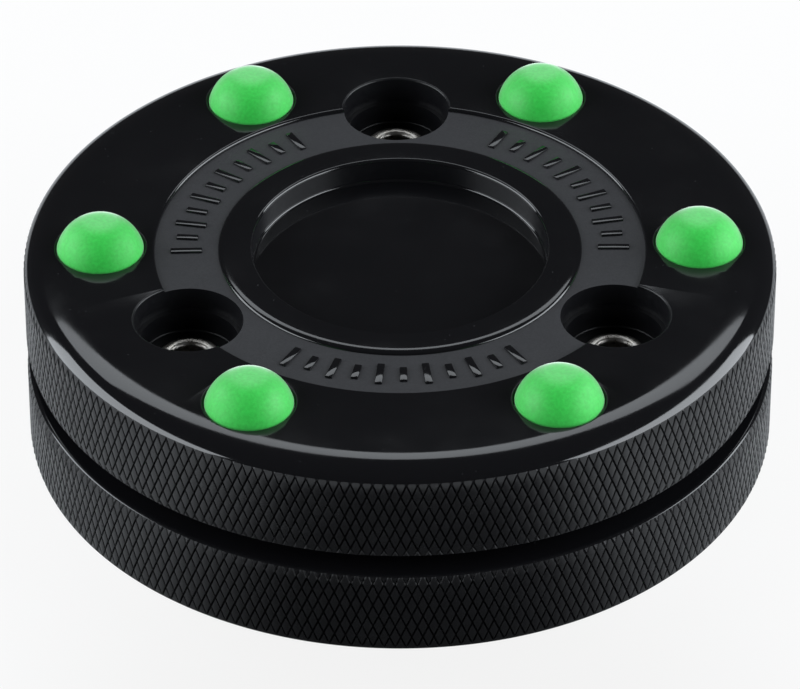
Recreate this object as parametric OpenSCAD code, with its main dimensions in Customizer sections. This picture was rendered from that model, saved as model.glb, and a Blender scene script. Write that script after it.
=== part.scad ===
// Roller hockey puck: two identical moulded discs, back to back, held loosely
// by three tubular rivets, with six press-in runners in each playing face.
// The origin is under the centre of the puck, on the plane it rests on.

/* [Puck] */
// Diameter over the smooth shoulders of the rim
puck_d = 76.2; // [68:0.1:92]
// Height over the two playing faces, without the runners
body_t = 22.9; // [20:0.1:28]
// Height of the slot between the discs at the rim
rim_gap = 2.4; // [1.2:0.1:3.4]
// Radius inside which the two discs rest on each other
land_r = 33; // [31:0.1:34.5]
// Radius of the core left out of each inner face
core_r = 15; // [8:0.1:18]
// Depth of that core
core_depth = 3; // [1:0.1:4.5]

/* [Rim] */
// Width of the rounded edge of the playing face
rim_w = 3.7; // [2:0.1:4]
// Drop of the rounded edge down the side
rim_drop = 1.9; // [0.8:0.1:2.5]
// Radius of the edge beside the slot
slot_edge_r = 0.4; // [0.2:0.05:1]
// Height of the smooth shoulder at each end of the grip band
shoulder_h = 0.1; // [0.05:0.05:0.6]
// Depth of the grip band below the shoulders
grip_depth = 0.2; // [0.1:0.05:0.4]

/* [Playing face] */
// Outer radius of the matt sunken band
band_ro = 24.8; // [22:0.1:26]
// Inner radius of the matt sunken band
band_ri = 18.4; // [17:0.1:20]
// Depth of the sunken band
band_depth = 0.35; // [0.15:0.05:0.8]
// Radial width of the rounded outer edge of the inner ring
ring_round = 0.8; // [0.3:0.05:1.5]
// Radius of the recess in the middle
recess_r = 15; // [12:0.1:16]
// Depth of the recess in the middle
recess_depth = 2.65; // [1.5:0.05:3.2]
// Radius of the small rounded edges of the face
edge_r = 0.3; // [0.1:0.05:0.35]
// Bevel round the mouths of the pockets and of the runner seats
mouth_bevel = 0.2; // [0.1:0.05:0.25]

/* [Runners] */
// Radius of the circle that the runners stand on
runner_pcr = 30.3; // [29:0.1:31]
// Radius of a runner where it meets the face
runner_r = 4.4; // [3.6:0.05:4.6]
// Height of a runner above the face
runner_h = 3.1; // [1.5:0.05:3.6]
// Radius of the small flat on top of a runner
runner_flat_r = 1.6; // [0.8:0.05:2]
// Thickness of the flange under the dome
flange_t = 0.8; // [0.5:0.05:1.2]
// Radius of the shank pressed into the disc
shank_r = 2.5; // [1.8:0.05:3]
// Length of the shank under the flange
shank_l = 5.5; // [3:0.1:7]
// Radius of the hole in the middle of the shank
shank_core_r = 1; // [0.6:0.05:1.4]
// Gap between the flange and the wall of its seat
flange_clear = 0.12; // [0.05:0.01:0.2]
// Gap between the shank and its hole, which the glue fills
shank_clear = 0.03; // [0.01:0.01:0.1]

/* [Rivets] */
// Radius of the circle that the rivets stand on
rivet_pcr = 24.5; // [24:0.1:25]
// Outer radius of the rivet tube
rivet_r = 2.2; // [1.8:0.05:2.6]
// Wall of the rivet tube
rivet_wall = 0.4; // [0.3:0.05:0.6]
// Radius of the rolled collar
collar_r = 3.1; // [2.9:0.05:3.6]
// Radius of the factory head
head_r = 3.5; // [3.1:0.05:4]
// Height of the collar and of the head
head_t = 0.8; // [0.6:0.05:1.2]
// Gap all round between a rivet and its hole
rivet_clear = 0.3; // [0.15:0.05:0.4]
// How far the two discs can move apart
play = 0.5; // [0.2:0.05:0.8]

/* [Rivet pockets] */
// Radius of a pocket at its mouth
pocket_r = 5.45; // [4.8:0.05:5.8]
// Radius of a pocket below its step
pocket_floor_r = 4.95; // [4.4:0.05:5.2]
// Depth of the step
pocket_step = 2.8; // [1.5:0.1:3.5]
// Depth of the floor that a rivet bears on
pocket_depth = 5.2; // [4:0.1:5.8]

/* [Hidden] */
rivet_count = 3;
runner_count = 6;
$fn = 128;
black = [0.03, 0.03, 0.035];
green = [0.25, 0.82, 0.35];
steel = [0.72, 0.72, 0.7];
arc_steps = 10;
over = 0.5;
disc_h = body_t / 2;
rim_r = puck_d / 2;
grip_r = rim_r - grip_depth;
slot_z = rim_gap / 2;
grip_low = slot_z + slot_edge_r + shoulder_h;
grip_high = disc_h - rim_drop - shoulder_h;
split_z = runner_h + disc_h;
seat_r = runner_r + flange_clear;
hole_r = rivet_r + rivet_clear;
floor_z = disc_h - pocket_depth;
first_rivet = 90;

// Points on an elliptical arc about c, from angle a to angle b
function arc(c, rx, ry, a, b, n = arc_steps) =
  [for (i = [0:n]) let (t = a + (b - a) * i / n) [c[0] + rx * cos(t), c[1] + ry * sin(t)]];

// Copies its children round the axis
module around(count, radius, first = 0) {
  for (i = [0:count - 1])
    rotate(first + 360 * i / count)
      translate([radius, 0, 0]) children();
}

// Puts a disc, modelled from its inner face up, into the puck
module place_disc(upper) {
  translate([0, 0, split_z])
    rotate([0, upper ? 0 : 180, 0]) children();
}

// Half section of a disc: inner face, rim and playing face, in that order
function disc_section() = concat(
  [[0, core_depth], [core_r, core_depth], [core_r, 0], [land_r, 0], [land_r, slot_z]],
  arc([rim_r - slot_edge_r, slot_z + slot_edge_r], slot_edge_r, slot_edge_r, -90, 0),
  [[rim_r, grip_low], [grip_r, grip_low], [grip_r, grip_high], [rim_r, grip_high]],
  arc([rim_r - rim_w, disc_h - rim_drop], rim_w, rim_drop, 0, 90),
  arc([band_ro + edge_r, disc_h - edge_r], edge_r, edge_r, 90, 180, 4),
  [[band_ro, disc_h - band_depth], [band_ri, disc_h - band_depth]],
  arc([band_ri - ring_round, disc_h - band_depth], ring_round, band_depth, 0, 90),
  arc([recess_r + edge_r, disc_h - edge_r], edge_r, edge_r, 90, 180, 4),
  arc([recess_r - edge_r, disc_h - recess_depth + edge_r], edge_r, edge_r, 0, -90, 4),
  [[0, disc_h - recess_depth]]
);

// Stepped pocket with a bevelled mouth, and the rivet hole in its floor
module rivet_pocket() {
  rotate_extrude()
    polygon(concat(
      [[0, -over], [hole_r, -over], [hole_r, floor_z], [pocket_floor_r, floor_z]],
      [[pocket_floor_r, disc_h - pocket_step], [pocket_r, disc_h - pocket_step]],
      [[pocket_r, disc_h - mouth_bevel], [pocket_r + mouth_bevel + over, disc_h + over], [0, disc_h + over]]
    ));
}

// Seat for a runner's flange, with the hole for its shank
module runner_seat() {
  rotate_extrude()
    polygon(concat(
      [[0, disc_h - flange_t - shank_l - over], [shank_r + shank_clear, disc_h - flange_t - shank_l - over]],
      [[shank_r + shank_clear, disc_h - flange_t], [seat_r, disc_h - flange_t]],
      [[seat_r, disc_h - mouth_bevel], [seat_r + mouth_bevel + over, disc_h + over], [0, disc_h + over]]
    ));
}

module disc() {
  difference() {
    rotate_extrude() polygon(disc_section());
    around(rivet_count, rivet_pcr, first_rivet) rivet_pocket();
    around(runner_count, runner_pcr) runner_seat();
  }
}

module lower_disc() {
  color(black) place_disc(false) disc();
}

module upper_disc() {
  color(black) place_disc(true) disc();
}

// Height above the face of a runner's dome centre: the dome passes through the
// foot of the runner and through the edge of its flat
dome_z = (runner_h * runner_h + runner_flat_r * runner_flat_r - runner_r * runner_r) / (2 * runner_h);
dome_r = sqrt(runner_r * runner_r + dome_z * dome_z);

// Domed runner on a flange, with a hollow shank
module runner() {
  foot = -asin(dome_z / dome_r);
  top = asin((runner_h - dome_z) / dome_r);
  rotate_extrude()
    polygon(concat(
      [[shank_core_r, disc_h - flange_t - shank_l], [shank_r, disc_h - flange_t - shank_l]],
      [[shank_r, disc_h - flange_t], [runner_r, disc_h - flange_t]],
      arc([0, disc_h + dome_z], dome_r, dome_r, foot, top, 16),
      [[0, disc_h + runner_h], [0, disc_h - flange_t], [shank_core_r, disc_h - flange_t]]
    ));
}

module upper_runner(n) {
  color(green) place_disc(true)
    rotate(360 * (n - 1) / runner_count) translate([runner_pcr, 0, 0]) runner();
}

module lower_runner(n) {
  color(green) place_disc(false)
    rotate(360 * (n - 1) / runner_count) translate([runner_pcr, 0, 0]) runner();
}

// Tubular rivet: factory head below, collar rolled over above. The collar
// rests on the upper disc, and the head hangs below the lower disc by the play.
module rivet(n) {
  top_floor = split_z + floor_z;
  head_z = split_z - floor_z - play;
  bore_r = rivet_r - rivet_wall;
  crest_r = (bore_r + collar_r) / 2;
  half_w = (collar_r - bore_r) / 2;
  color(steel)
    rotate(first_rivet + 360 * (n - 1) / rivet_count)
      translate([rivet_pcr, 0, 0])
        rotate_extrude()
          polygon(concat(
            [[rivet_r, head_z], [head_r, head_z]],
            arc([head_r - head_t, head_z], head_t, head_t, 0, -90, 6),
            arc([bore_r + edge_r, head_z - head_t + edge_r], edge_r, edge_r, 270, 180, 4),
            arc([crest_r, top_floor + head_t / 2], half_w, head_t / 2, 180, 0, 12),
            [[collar_r, top_floor], [rivet_r, top_floor]]
          ));
}

lower_disc();
upper_disc();
for (n = [1:rivet_count])
  rivet(n);
for (n = [1:runner_count])
  lower_runner(n);
for (n = [1:runner_count])
  upper_runner(n);
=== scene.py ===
import math

import bmesh
import bpy
from mathutils import Matrix, Vector


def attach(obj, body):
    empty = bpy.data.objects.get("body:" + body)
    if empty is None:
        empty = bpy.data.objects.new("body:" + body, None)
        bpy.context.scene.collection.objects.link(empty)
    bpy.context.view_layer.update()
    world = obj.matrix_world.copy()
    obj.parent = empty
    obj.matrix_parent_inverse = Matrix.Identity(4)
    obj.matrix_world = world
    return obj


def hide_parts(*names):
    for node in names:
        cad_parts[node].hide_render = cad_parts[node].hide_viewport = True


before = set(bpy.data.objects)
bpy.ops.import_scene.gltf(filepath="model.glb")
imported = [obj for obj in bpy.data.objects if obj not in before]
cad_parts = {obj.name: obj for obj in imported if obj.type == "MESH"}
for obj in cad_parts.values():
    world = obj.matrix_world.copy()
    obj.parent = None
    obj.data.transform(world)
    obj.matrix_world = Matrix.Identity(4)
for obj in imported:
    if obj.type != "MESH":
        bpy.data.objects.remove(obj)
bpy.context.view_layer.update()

MM = 0.001

# ---- sizes of the puck, in millimetres, as the CAD source has them ----
RUNNER_H = 3.1
DISC_H = 11.45
SPLIT_Z = RUNNER_H + DISC_H
RIM_R = 38.1
RIM_W, RIM_DROP = 3.7, 1.9
SLOT_Z = 1.2
SLOT_EDGE_R = 0.6
LAND_R, CORE_R, CORE_DEPTH = 33.0, 15.0, 3.0
BAND_RO, BAND_RI, BAND_DEPTH = 24.8, 18.4, 0.35
RING_ROUND = 0.8
RECESS_R, RECESS_DEPTH = 15.0, 2.65
EDGE_R = 0.3
POCKET_R, POCKET_FLOOR_R = 5.45, 4.95
POCKET_STEP, POCKET_DEPTH = 2.8, 5.2
RIVET_PCR, RIVET_HOLE_R = 24.5, 2.5
RUNNER_PCR, RUNNER_R, RUNNER_FLAT_R, RUNNER_BLEND = 30.3, 4.4, 1.6, 0.3
SEAT_R, SEAT_DEPTH = 4.52, 0.8
SHANK_R, SHANK_L, SHANK_CORE_R = 2.5, 5.5, 1.0
MOUTH_ROUND = 0.22
POCKET_ANGLES = (90, 210, 330)
RUNNER_ANGLES = (0, 60, 120, 180, 240, 300)

# ---- knurl, in millimetres ----
KNURL_COUNT = 220
KNURL_PITCH_Z = 2.62
KNURL_DEPTH = 0.19
KNURL_GROOVE = 0.21
GROOVE_R = RIM_R - KNURL_DEPTH
KNURL_INNER_R = 35.5
KNURL_START = 0.4  # share of a half row by which the pattern starts below the knurl's lower edge
LIP_DROP, TOP_DROP = 0.012, 0.003  # how far a diamond's lip and its flat top lie inside the rim
TOP_SHARE = 0.93  # size of the flat top against the lip

# ---- raised bars on the band, in millimetres and degrees ----
MARK_R = 21.6
MARK_PITCH = 6.2
MARK_ANGLES = (30, 150, 270)
MARK_LONG, MARK_SHORT = 3.2, 2.2
MARK_W, MARK_H, MARK_BEVEL = 0.75, 0.4, 0.09

LATHE_STEPS = 384
HOLE_STEPS = 96
RUNNER_STEPS = 128


# ---------------------------------------------------------------- outlines
def arc(cx, cz, rx, rz, a, b, steps):
    """Points on an elliptical arc from angle a to angle b, in degrees."""
    turn = [math.radians(a + (b - a) * i / steps) for i in range(steps + 1)]
    return [(cx + rx * math.cos(t), cz + rz * math.sin(t)) for t in turn]


def side_radius(z):
    """Radius of the disc's side at height z over its inner face, before the knurl is cut."""
    rise = z - SLOT_Z
    if rise < SLOT_EDGE_R:
        return RIM_R - SLOT_EDGE_R + math.sqrt(max(0, SLOT_EDGE_R**2 - (SLOT_EDGE_R - rise) ** 2))
    up = (z - (DISC_H - RIM_DROP)) / RIM_DROP
    if up > 0:
        return RIM_R - RIM_W + RIM_W * math.sqrt(max(0, 1 - min(up, 1) ** 2))
    return RIM_R


KNURL_LOW = SLOT_Z + SLOT_EDGE_R - math.sqrt(SLOT_EDGE_R**2 - (SLOT_EDGE_R - KNURL_DEPTH) ** 2)
KNURL_HIGH = DISC_H - RIM_DROP + RIM_DROP * math.sqrt(1 - (1 - KNURL_DEPTH / RIM_W) ** 2)


# ---------------------------------------------------------------- mesh helpers
def lathe(points, steps=LATHE_STEPS, slots=None):
    """bmesh of an outline of (radius, height) points turned about Z.

    slots gives the material of each stretch between two points."""
    bm = bmesh.new()
    rings = []
    for r, z in points:
        if r < 1e-6:
            rings.append([bm.verts.new((0, 0, z * MM))])
        else:
            turn = [2 * math.pi * i / steps for i in range(steps)]
            rings.append([bm.verts.new((r * math.cos(t) * MM, r * math.sin(t) * MM, z * MM)) for t in turn])
    for k in range(len(rings) - 1):
        low, high = rings[k], rings[k + 1]
        for i in range(steps):
            j = (i + 1) % steps
            if len(low) == 1 and len(high) == 1:
                break
            if len(low) == 1:
                face = bm.faces.new((low[0], high[j], high[i]))
            elif len(high) == 1:
                face = bm.faces.new((low[i], low[j], high[0]))
            else:
                face = bm.faces.new((low[i], low[j], high[j], high[i]))
            face.material_index = slots[k] if slots else 0
    bmesh.ops.recalc_face_normals(bm, faces=bm.faces)
    return bm


def add_object(name, bm):
    """Object made of a bmesh, which is used up."""
    mesh = bpy.data.meshes.new(name)
    bm.to_mesh(mesh)
    bm.free()
    obj = bpy.data.objects.new(name, mesh)
    bpy.context.scene.collection.objects.link(obj)
    return obj


def boolean(obj, other, operation):
    """obj with other joined to it or cut from it; other is used up."""
    modifier = obj.modifiers.new("cut", "BOOLEAN")
    modifier.operation = operation
    modifier.solver = "EXACT"
    modifier.object = other
    bpy.context.view_layer.update()
    result = bpy.data.meshes.new_from_object(obj.evaluated_get(bpy.context.evaluated_depsgraph_get()))
    obj.modifiers.clear()
    obj.data = result
    bpy.data.objects.remove(other)


def smooth(mesh, angle):
    mesh.polygons.foreach_set("use_smooth", [True] * len(mesh.polygons))
    mesh.set_sharp_from_angle(angle=math.radians(angle))


# ---------------------------------------------------------------- the disc
GLOSS, BAND, KNURL, WALL = 0, 1, 2, 3


def disc_outline():
    """Half section of the disc without the knurl, with a material for each stretch."""
    points, slots = [], []

    def run(more, slot=GLOSS):
        for p in more:
            if points:
                slots.append(slot)
            points.append(p)

    run([(0, CORE_DEPTH), (CORE_R, CORE_DEPTH), (CORE_R, 0), (LAND_R, 0), (LAND_R, SLOT_Z)])
    start = math.degrees(math.acos((side_radius(KNURL_LOW) - RIM_R + SLOT_EDGE_R) / SLOT_EDGE_R))
    run(arc(RIM_R - SLOT_EDGE_R, SLOT_Z + SLOT_EDGE_R, SLOT_EDGE_R, SLOT_EDGE_R, -90, -start, 8))
    run([(GROOVE_R - 0.1, KNURL_LOW), (GROOVE_R - 0.1, KNURL_HIGH)])
    end = math.degrees(math.acos((side_radius(KNURL_HIGH) - RIM_R + RIM_W) / RIM_W))
    run(arc(RIM_R - RIM_W, DISC_H - RIM_DROP, RIM_W, RIM_DROP, end, 90, 36))
    run(arc(BAND_RO + EDGE_R, DISC_H - EDGE_R, EDGE_R, EDGE_R, 90, 180, 8))
    run([(BAND_RO, DISC_H - BAND_DEPTH)])
    run([(BAND_RI, DISC_H - BAND_DEPTH)], BAND)
    run(arc(BAND_RI - RING_ROUND, DISC_H - BAND_DEPTH, RING_ROUND, BAND_DEPTH, 0, 90, 12)[1:])
    run(arc(RECESS_R + EDGE_R, DISC_H - EDGE_R, EDGE_R, EDGE_R, 90, 180, 8))
    foot = arc(RECESS_R - EDGE_R, DISC_H - RECESS_DEPTH + EDGE_R, EDGE_R, EDGE_R, 0, -90, 8)
    run(foot[:1], WALL)
    run(foot[1:])
    run([(0, DISC_H - RECESS_DEPTH)])
    return points, slots


def pocket_outline():
    """Half section of what a rivet pocket and its rivet hole take out of the disc."""
    mouth = arc(POCKET_R + MOUTH_ROUND, DISC_H - MOUTH_ROUND, MOUTH_ROUND, MOUTH_ROUND, 180, 90, 6)
    floor = arc(POCKET_FLOOR_R - 0.25, DISC_H - POCKET_DEPTH + 0.25, 0.25, 0.25, -90, 0, 5)
    return (
        [(0, -1), (RIVET_HOLE_R, -1), (RIVET_HOLE_R, DISC_H - POCKET_DEPTH)]
        + floor
        + [(POCKET_FLOOR_R, DISC_H - POCKET_STEP), (POCKET_R, DISC_H - POCKET_STEP)]
        + mouth
        + [(POCKET_R + MOUTH_ROUND, DISC_H + 1), (0, DISC_H + 1)]
    )


def seat_outline():
    """Half section of what a runner's seat and shank hole take out of the disc."""
    mouth = arc(SEAT_R + MOUTH_ROUND, DISC_H - MOUTH_ROUND, MOUTH_ROUND, MOUTH_ROUND, 180, 90, 6)
    low = DISC_H - SEAT_DEPTH - SHANK_L - 0.5
    hole = SHANK_R + 0.03
    return (
        [(0, low), (hole, low), (hole, DISC_H - SEAT_DEPTH), (SEAT_R, DISC_H - SEAT_DEPTH)]
        + mouth
        + [(SEAT_R + MOUTH_ROUND, DISC_H + 1), (0, DISC_H + 1)]
    )


def ring_of(outline, angles, radius, steps=HOLE_STEPS):
    """One mesh of an outline turned about each of several upright axes."""
    out = bmesh.new()
    for a in angles:
        one = lathe(outline, steps, [WALL] * len(outline))
        at = Vector((radius * math.cos(math.radians(a)), radius * math.sin(math.radians(a)), 0)) * MM
        bmesh.ops.translate(one, verts=one.verts, vec=at)
        mesh = bpy.data.meshes.new("part")
        one.to_mesh(mesh)
        one.free()
        out.from_mesh(mesh)
        bpy.data.meshes.remove(mesh)
    return out


def knurl_plug():
    """The knurled stretch of the side as a closed plug.

    It has flat-topped diamonds between two families of grooves."""
    bm = bmesh.new()
    half_w = math.pi * RIM_R / KNURL_COUNT
    half_h = KNURL_PITCH_Z / 2
    inner = 1 - (KNURL_GROOVE / 2) * math.hypot(half_w, half_h) / (half_w * half_h)
    rows = range(-1, int((KNURL_HIGH - KNURL_LOW) / half_h) + 3)
    shared = {}

    def point(column, row, radius):
        turn = column * math.pi / KNURL_COUNT
        z = KNURL_LOW + (row - KNURL_START) * half_h
        return bm.verts.new((radius * math.cos(turn) * MM, radius * math.sin(turn) * MM, z * MM))

    def corner(column, row):
        key = (column % (2 * KNURL_COUNT), row)
        if key not in shared:
            shared[key] = point(column, row, GROOVE_R)
        return shared[key]

    for row in rows:
        for column in range(row % 2, 2 * KNURL_COUNT, 2):
            ways = ((1, 0), (0, 1), (-1, 0), (0, -1))
            outer = [corner(column + x, row + y) for x, y in ways]
            lip = [point(column + x * inner, row + y * inner, RIM_R - LIP_DROP) for x, y in ways]
            flat = inner * TOP_SHARE
            top = [point(column + x * flat, row + y * flat, RIM_R - TOP_DROP) for x, y in ways]
            bm.faces.new(top)
            for i in range(4):
                j = (i + 1) % 4
                bm.faces.new((lip[i], lip[j], top[j], top[i]))
                bm.faces.new((outer[i], outer[j], lip[j], lip[i]))
    for z, side in ((KNURL_LOW, -1), (KNURL_HIGH, 1)):
        everything = bm.verts[:] + bm.edges[:] + bm.faces[:]
        bmesh.ops.bisect_plane(
            bm, geom=everything, plane_co=(0, 0, z * MM), plane_no=(0, 0, side), clear_outer=True
        )
    for v in bm.verts:
        radius = math.hypot(v.co.x, v.co.y)
        most = side_radius(v.co.z / MM) * MM
        if radius > most:
            v.co.x, v.co.y = v.co.x * most / radius, v.co.y * most / radius
    for face in bm.faces:
        face.material_index = KNURL
    for z in (KNURL_LOW, KNURL_HIGH):
        rim = [e for e in bm.edges if e.is_boundary and all(abs(v.co.z - z * MM) < 1e-7 for v in e.verts)]
        bmesh.ops.holes_fill(bm, edges=rim)
    bmesh.ops.recalc_face_normals(bm, faces=bm.faces)
    return bm


def make_disc_mesh():
    """The whole visible disc, inner face at z = 0 and playing face up."""
    points, slots = disc_outline()
    disc = add_object("disc", lathe(points, LATHE_STEPS, slots))
    plug = add_object("plug", knurl_plug())
    low, high = KNURL_LOW - 1, KNURL_HIGH + 1
    bore = lathe([(0, low), (KNURL_INNER_R, low), (KNURL_INNER_R, high), (0, high)])
    boolean(plug, add_object("bore", bore), "DIFFERENCE")
    pockets = add_object("pockets", ring_of(pocket_outline(), POCKET_ANGLES, RIVET_PCR))
    seats = add_object("seats", ring_of(seat_outline(), RUNNER_ANGLES, RUNNER_PCR))
    for obj in (disc, plug, pockets, seats):
        for material in disc_materials:
            obj.data.materials.append(material)
    boolean(disc, plug, "UNION")
    boolean(disc, pockets, "DIFFERENCE")
    boolean(disc, seats, "DIFFERENCE")
    smooth(disc.data, 28)
    mesh = disc.data
    bpy.data.objects.remove(disc)
    return mesh


# ---------------------------------------------------------------- runners and marks
def runner_outline():
    """Half section of a runner: hollow shank, flange and a dome that flattens softly towards its top."""
    centre = (RUNNER_H**2 + RUNNER_FLAT_R**2 - RUNNER_R**2) / (2 * RUNNER_H)
    radius = math.hypot(RUNNER_R, centre)
    foot = -math.degrees(math.asin(centre / radius))

    def flatten(z):
        near = max(RUNNER_BLEND - abs(z - RUNNER_H), 0) / RUNNER_BLEND
        return min(z, RUNNER_H) - near**2 * RUNNER_BLEND / 4

    dome = [(r, DISC_H + flatten(z)) for r, z in arc(0, centre, radius, radius, foot, 90, 60)]
    low = DISC_H - SEAT_DEPTH
    return (
        [(0, low), (SHANK_CORE_R, low), (SHANK_CORE_R, low - SHANK_L), (SHANK_R, low - SHANK_L)]
        + [(SHANK_R, low), (RUNNER_R, low), (RUNNER_R, DISC_H - 0.1)]
        + dome[:-1]
        + [(0, DISC_H + RUNNER_H)]
    )


def mark_mesh():
    """Plain raised bars round the matt band, between the rivet pockets."""
    bm = bmesh.new()
    for middle in MARK_ANGLES:
        for k in range(-5, 6):
            turn = math.radians(middle + MARK_PITCH * k)
            long = MARK_LONG if k % 2 else MARK_SHORT
            made = bmesh.ops.create_cube(bm, size=1)["verts"]
            bmesh.ops.scale(bm, verts=made, vec=(long * MM, MARK_W * MM, MARK_H * MM))
            bmesh.ops.translate(bm, verts=made, vec=(MARK_R * MM, 0, (DISC_H - BAND_DEPTH) * MM))
            bmesh.ops.rotate(bm, verts=made, cent=(0, 0, 0), matrix=Matrix.Rotation(turn, 3, "Z"))
    bmesh.ops.bevel(
        bm, geom=bm.edges[:], offset=MARK_BEVEL * MM, segments=2, affect="EDGES", profile=0.5
    )
    return bm


# ---------------------------------------------------------------- materials
PAINTED_SHADE_AT = (0, -0.062, 0)  # centre of the floor's dark patch of painted shade, which the rim reflects, in metres
PAINTED_SHADE_FADE = (0.022, 0.06)  # radii in metres between which it fades out
PAINTED_SHADE_ALBEDO = (0.1, 0.8)  # the floor's albedo inside and outside it
FLOOR_GLOW = 0.88  # share of the floor that the camera sees as plain white


def new_material(name, color, roughness):
    material = bpy.data.materials.new(name)
    material.use_nodes = True
    nodes = material.node_tree.nodes
    shader = nodes["Principled BSDF"]
    shader.inputs["Base Color"].default_value = (*color, 1)
    shader.inputs["Roughness"].default_value = roughness
    return material, nodes, material.node_tree.links, shader


def noise(nodes, links, scale, detail=4.0, rough=0.6):
    place = nodes.new("ShaderNodeTexCoord")
    tex = nodes.new("ShaderNodeTexNoise")
    tex.inputs["Scale"].default_value = scale
    tex.inputs["Detail"].default_value = detail
    tex.inputs["Roughness"].default_value = rough
    links.new(place.outputs["Object"], tex.inputs["Vector"])
    return tex


def ramp(nodes, links, source, stops):
    made = nodes.new("ShaderNodeValToRGB")
    for element, (position, color) in zip(made.color_ramp.elements, stops):
        element.position, element.color = position, (*color, 1)
    links.new(source, made.inputs["Fac"])
    return made


def span(nodes, links, source, low, high):
    """Maps 0.3..0.7 of a noise to low..high."""
    made = nodes.new("ShaderNodeMapRange")
    made.inputs["From Min"].default_value = 0.3
    made.inputs["From Max"].default_value = 0.7
    made.inputs["To Min"].default_value = low
    made.inputs["To Max"].default_value = high
    links.new(source, made.inputs["Value"])
    return made


def bump(nodes, links, shader, source, strength, distance):
    made = nodes.new("ShaderNodeBump")
    made.inputs["Strength"].default_value = strength
    made.inputs["Distance"].default_value = distance
    links.new(source, made.inputs["Height"])
    links.new(made.outputs["Normal"], shader.inputs["Normal"])


def gloss_black():
    material, nodes, links, shader = new_material("gloss_black", (0.0052, 0.0052, 0.006), 0.08)
    cloud = noise(nodes, links, 120, 5)
    rough = span(nodes, links, cloud.outputs["Fac"], 0.05, 0.13)
    links.new(rough.outputs["Result"], shader.inputs["Roughness"])
    dust = noise(nodes, links, 2600, 2, 0.5)
    stops = [(0.74, (0.0052, 0.0052, 0.006)), (0.8, (0.03, 0.03, 0.032))]
    specks = ramp(nodes, links, dust.outputs["Fac"], stops)
    links.new(specks.outputs["Color"], shader.inputs["Base Color"])
    peel = noise(nodes, links, 420, 2)
    bump(nodes, links, shader, peel.outputs["Fac"], 0.06, 0.00005)
    return material


def band_black():
    material, nodes, links, shader = new_material("band_black", (0.03, 0.03, 0.033), 0.6)
    grain = noise(nodes, links, 5200, 3)
    stops = [(0.3, (0.011, 0.011, 0.013)), (0.75, (0.022, 0.022, 0.025))]
    color = ramp(nodes, links, grain.outputs["Fac"], stops)
    links.new(color.outputs["Color"], shader.inputs["Base Color"])
    cloud = noise(nodes, links, 160, 3)
    rough = span(nodes, links, cloud.outputs["Fac"], 0.52, 0.66)
    links.new(rough.outputs["Result"], shader.inputs["Roughness"])
    bump(nodes, links, shader, grain.outputs["Fac"], 0.35, 0.00006)
    return material


def knurl_black():
    material, nodes, links, shader = new_material("knurl_black", (0.005, 0.005, 0.006), 0.24)
    grain = noise(nodes, links, 3200, 3)
    stops = [(0.3, (0.004, 0.004, 0.0045)), (0.75, (0.008, 0.008, 0.009))]
    color = ramp(nodes, links, grain.outputs["Fac"], stops)
    links.new(color.outputs["Color"], shader.inputs["Base Color"])
    cloud = noise(nodes, links, 260, 4)
    rough = span(nodes, links, cloud.outputs["Fac"], 0.18, 0.3)
    links.new(rough.outputs["Result"], shader.inputs["Roughness"])
    bump(nodes, links, shader, grain.outputs["Fac"], 0.2, 0.00004)
    return material


def wall_black():
    material, nodes, links, shader = new_material("wall_black", (0.005, 0.005, 0.006), 0.34)
    grain = noise(nodes, links, 2400, 3)
    rough = span(nodes, links, grain.outputs["Fac"], 0.28, 0.42)
    links.new(rough.outputs["Result"], shader.inputs["Roughness"])
    shader.inputs["Specular IOR Level"].default_value = 0.3
    bump(nodes, links, shader, grain.outputs["Fac"], 0.15, 0.00004)
    return material


def runner_green():
    material, nodes, links, shader = new_material("runner_green", (0.012, 0.56, 0.045), 0.45)
    grain = noise(nodes, links, 3000, 3)
    stops = [(0.3, (0.008, 0.5, 0.035)), (0.72, (0.018, 0.62, 0.058))]
    color = ramp(nodes, links, grain.outputs["Fac"], stops)
    links.new(color.outputs["Color"], shader.inputs["Base Color"])
    cloud = noise(nodes, links, 500, 3)
    rough = span(nodes, links, cloud.outputs["Fac"], 0.5, 0.64)
    links.new(rough.outputs["Result"], shader.inputs["Roughness"])
    shader.inputs["Sheen Weight"].default_value = 1.0
    shader.inputs["Sheen Roughness"].default_value = 0.45
    bump(nodes, links, shader, grain.outputs["Fac"], 0.22, 0.00005)
    return material


def rivet_steel():
    material, nodes, links, shader = new_material("rivet_steel", (0.45, 0.43, 0.4), 0.34)
    shader.inputs["Metallic"].default_value = 1.0
    stain = noise(nodes, links, 900, 5)
    stops = [(0.32, (0.28, 0.26, 0.23)), (0.62, (0.52, 0.5, 0.47))]
    color = ramp(nodes, links, stain.outputs["Fac"], stops)
    links.new(color.outputs["Color"], shader.inputs["Base Color"])
    rough = span(nodes, links, stain.outputs["Fac"], 0.22, 0.42)
    links.new(rough.outputs["Result"], shader.inputs["Roughness"])
    fine = noise(nodes, links, 4200, 3)
    bump(nodes, links, shader, fine.outputs["Fac"], 0.2, 0.00004)
    return material


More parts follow.
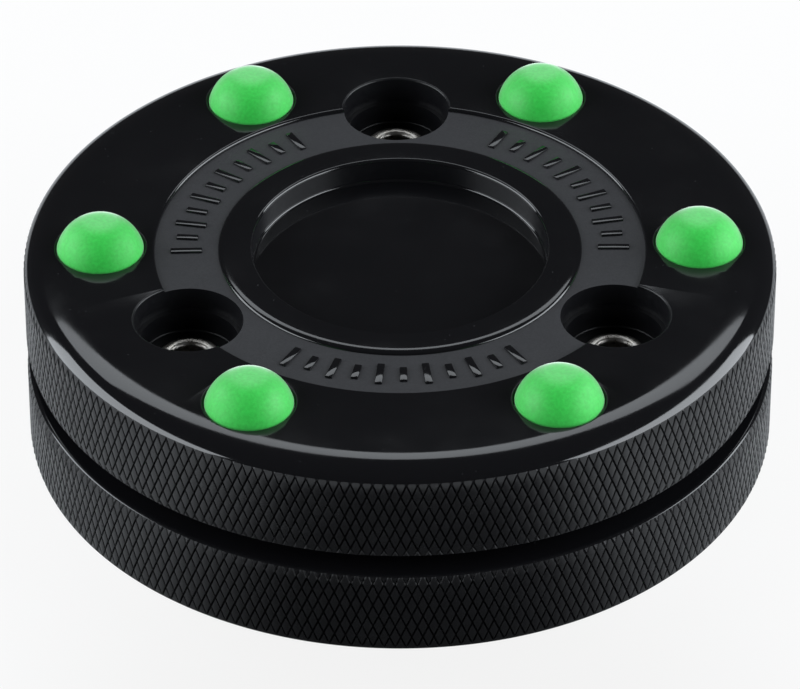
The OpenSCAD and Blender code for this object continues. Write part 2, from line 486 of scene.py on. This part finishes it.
def floor_white():
    """Pale floor, nearly white to the camera, with a soft dark patch of painted shade in front that the rim
    reflects.
    """
    material, nodes, links, shader = new_material("floor_white", (0.8, 0.8, 0.8), 0.9)
    shader.inputs["Specular IOR Level"].default_value = 0.1
    # painted shade: the floor's albedo is darkened in a soft patch in front of the puck so that the rim and
    # knurl reflect shade there
    place = nodes.new("ShaderNodeTexCoord")
    away = nodes.new("ShaderNodeVectorMath")
    away.operation = "DISTANCE"
    away.inputs[1].default_value = PAINTED_SHADE_AT
    links.new(place.outputs["Object"], away.inputs[0])
    painted_shade = nodes.new("ShaderNodeMapRange")
    painted_shade.interpolation_type = "SMOOTHSTEP"
    painted_shade.inputs["From Min"].default_value, painted_shade.inputs["From Max"].default_value = PAINTED_SHADE_FADE
    painted_shade.inputs["To Min"].default_value, painted_shade.inputs["To Max"].default_value = PAINTED_SHADE_ALBEDO
    links.new(away.outputs["Value"], painted_shade.inputs["Value"])
    links.new(painted_shade.outputs["Result"], shader.inputs["Base Color"])
    glow = nodes.new("ShaderNodeEmission")
    glow.inputs["Strength"].default_value = 1.0
    path = nodes.new("ShaderNodeLightPath")
    part = nodes.new("ShaderNodeMath")
    part.operation = "MULTIPLY"
    part.inputs[1].default_value = FLOOR_GLOW
    mix = nodes.new("ShaderNodeMixShader")
    links.new(path.outputs["Is Camera Ray"], part.inputs[0])
    links.new(part.outputs[0], mix.inputs["Fac"])
    links.new(shader.outputs[0], mix.inputs[1])
    links.new(glow.outputs[0], mix.inputs[2])
    links.new(mix.outputs[0], nodes["Material Output"].inputs["Surface"])
    return material


# ---------------------------------------------------------------- build
disc_materials = (gloss_black(), band_black(), knurl_black(), wall_black())
green = runner_green()
steel = rivet_steel()

disc_mesh = make_disc_mesh()
TURN_OVER = Matrix.Rotation(math.pi, 4, "Y")
PLACE = {
    "upper": Matrix.Translation((0, 0, SPLIT_Z * MM)),
    "lower": Matrix.Translation((0, 0, SPLIT_Z * MM)) @ TURN_OVER,
}


def show(name, mesh, where, body, slot, *nodes):
    """Puts a copy of a mesh into the puck and makes it ride on its half."""
    mesh = mesh.copy()
    mesh.transform(where)
    obj = bpy.data.objects.new(name, mesh)
    bpy.context.scene.collection.objects.link(obj)
    if nodes:
        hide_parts(*nodes)
    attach(obj, body)


runner = add_object("runner", lathe(runner_outline(), RUNNER_STEPS))
runner.data.materials.append(green)
smooth(runner.data, 35)
marks = add_object("marks", mark_mesh())
marks.data.materials.append(disc_materials[GLOSS])
smooth(marks.data, 35)

for half, place in PLACE.items():
    body = half + "_half"
    show(half + "_disc_skin", disc_mesh, place, body, "disc_black", half + "_disc")
    show(half + "_band_marks", marks.data, place, body, "disc_black")
    for n, angle in enumerate(RUNNER_ANGLES, 1):
        turn = Matrix.Rotation(math.radians(angle), 4, "Z")
        where = place @ turn @ Matrix.Translation((RUNNER_PCR * MM, 0, 0))
        node = f"{half}_runner_{n}"
        show(node + "_skin", runner.data, where, body, "runner_green", node)
for spare in (runner, marks):
    bpy.data.objects.remove(spare)

for n in (1, 2, 3):
    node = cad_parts[f"rivet_{n}"]
    node.data.materials.clear()
    node.data.materials.append(steel)

# ---------------------------------------------------------------- studio
scene = bpy.context.scene
scene.view_settings.view_transform = "Standard"

world = bpy.data.worlds.new("studio")
scene.world = world
world.use_nodes = True
w_nodes, w_links = world.node_tree.nodes, world.node_tree.links
room = w_nodes["Background"]
room.inputs["Color"].default_value = (0.035, 0.035, 0.036, 1)
white = w_nodes.new("ShaderNodeBackground")
white.inputs["Color"].default_value = (1, 1, 1, 1)
path = w_nodes.new("ShaderNodeLightPath")
mix = w_nodes.new("ShaderNodeMixShader")
w_links.new(path.outputs["Is Camera Ray"], mix.inputs["Fac"])
w_links.new(room.outputs[0], mix.inputs[1])
w_links.new(white.outputs[0], mix.inputs[2])
w_links.new(mix.outputs[0], w_nodes["World Output"].inputs["Surface"])

bm = bmesh.new()
bmesh.ops.create_grid(bm, x_segments=1, y_segments=1, size=1.6)
floor = add_object("floor", bm)
floor.location.z = -0.0002
floor.data.materials.append(floor_white())


LAMP_COLOR = (0.9, 0.95, 1)


def heading(azimuth, elevation):
    """Unit vector that points to an azimuth and elevation given in degrees."""
    a, e = math.radians(azimuth), math.radians(elevation)
    return Vector((math.cos(e) * math.cos(a), math.cos(e) * math.sin(a), math.sin(e)))


def softbox(name, azimuth, elevation, distance, width, height, radiance):
    """Rectangular lamp that faces the puck; radiance is what a mirror would show."""
    light = bpy.data.lights.new(name, "AREA")
    light.shape = "RECTANGLE"
    light.size, light.size_y = width, height
    light.energy = radiance * math.pi * width * height
    light.color = LAMP_COLOR
    lamp = bpy.data.objects.new(name, light)
    scene.collection.objects.link(lamp)
    way = heading(azimuth, elevation)
    lamp.location = way * distance + Vector((0, 0, SPLIT_Z * MM))
    lamp.rotation_euler = way.to_track_quat("Z", "Y").to_euler()
    lamp.visible_camera = False


softbox("softbox_right", -5, 23, 0.62, 0.75, 0.4, 6.8)
softbox("softbox_left", 182, 23, 0.62, 0.7, 0.4, 6.0)
softbox("softbox_back", 90, 51, 0.8, 0.84, 0.22, 2.8)

# ---------------------------------------------------------------- camera
CAMERA_AZIMUTH, CAMERA_ELEVATION, CAMERA_DISTANCE = -90.92, 37.288, 0.62155
AIM_UP = 0.7617
camera_data = bpy.data.cameras.new("camera")
camera_data.sensor_width = 36
camera_data.lens = 270.5
camera_data.clip_start = 0.01
camera = bpy.data.objects.new("camera", camera_data)
scene.collection.objects.link(camera)
way = heading(CAMERA_AZIMUTH, CAMERA_ELEVATION)
camera.location = way * CAMERA_DISTANCE + Vector((0, 0, RUNNER_H * MM))
look = way.to_track_quat("Z", "Y").to_matrix().to_4x4()
camera.rotation_euler = (look @ Matrix.Rotation(math.radians(AIM_UP), 4, "X")).to_euler()
scene.camera = camera
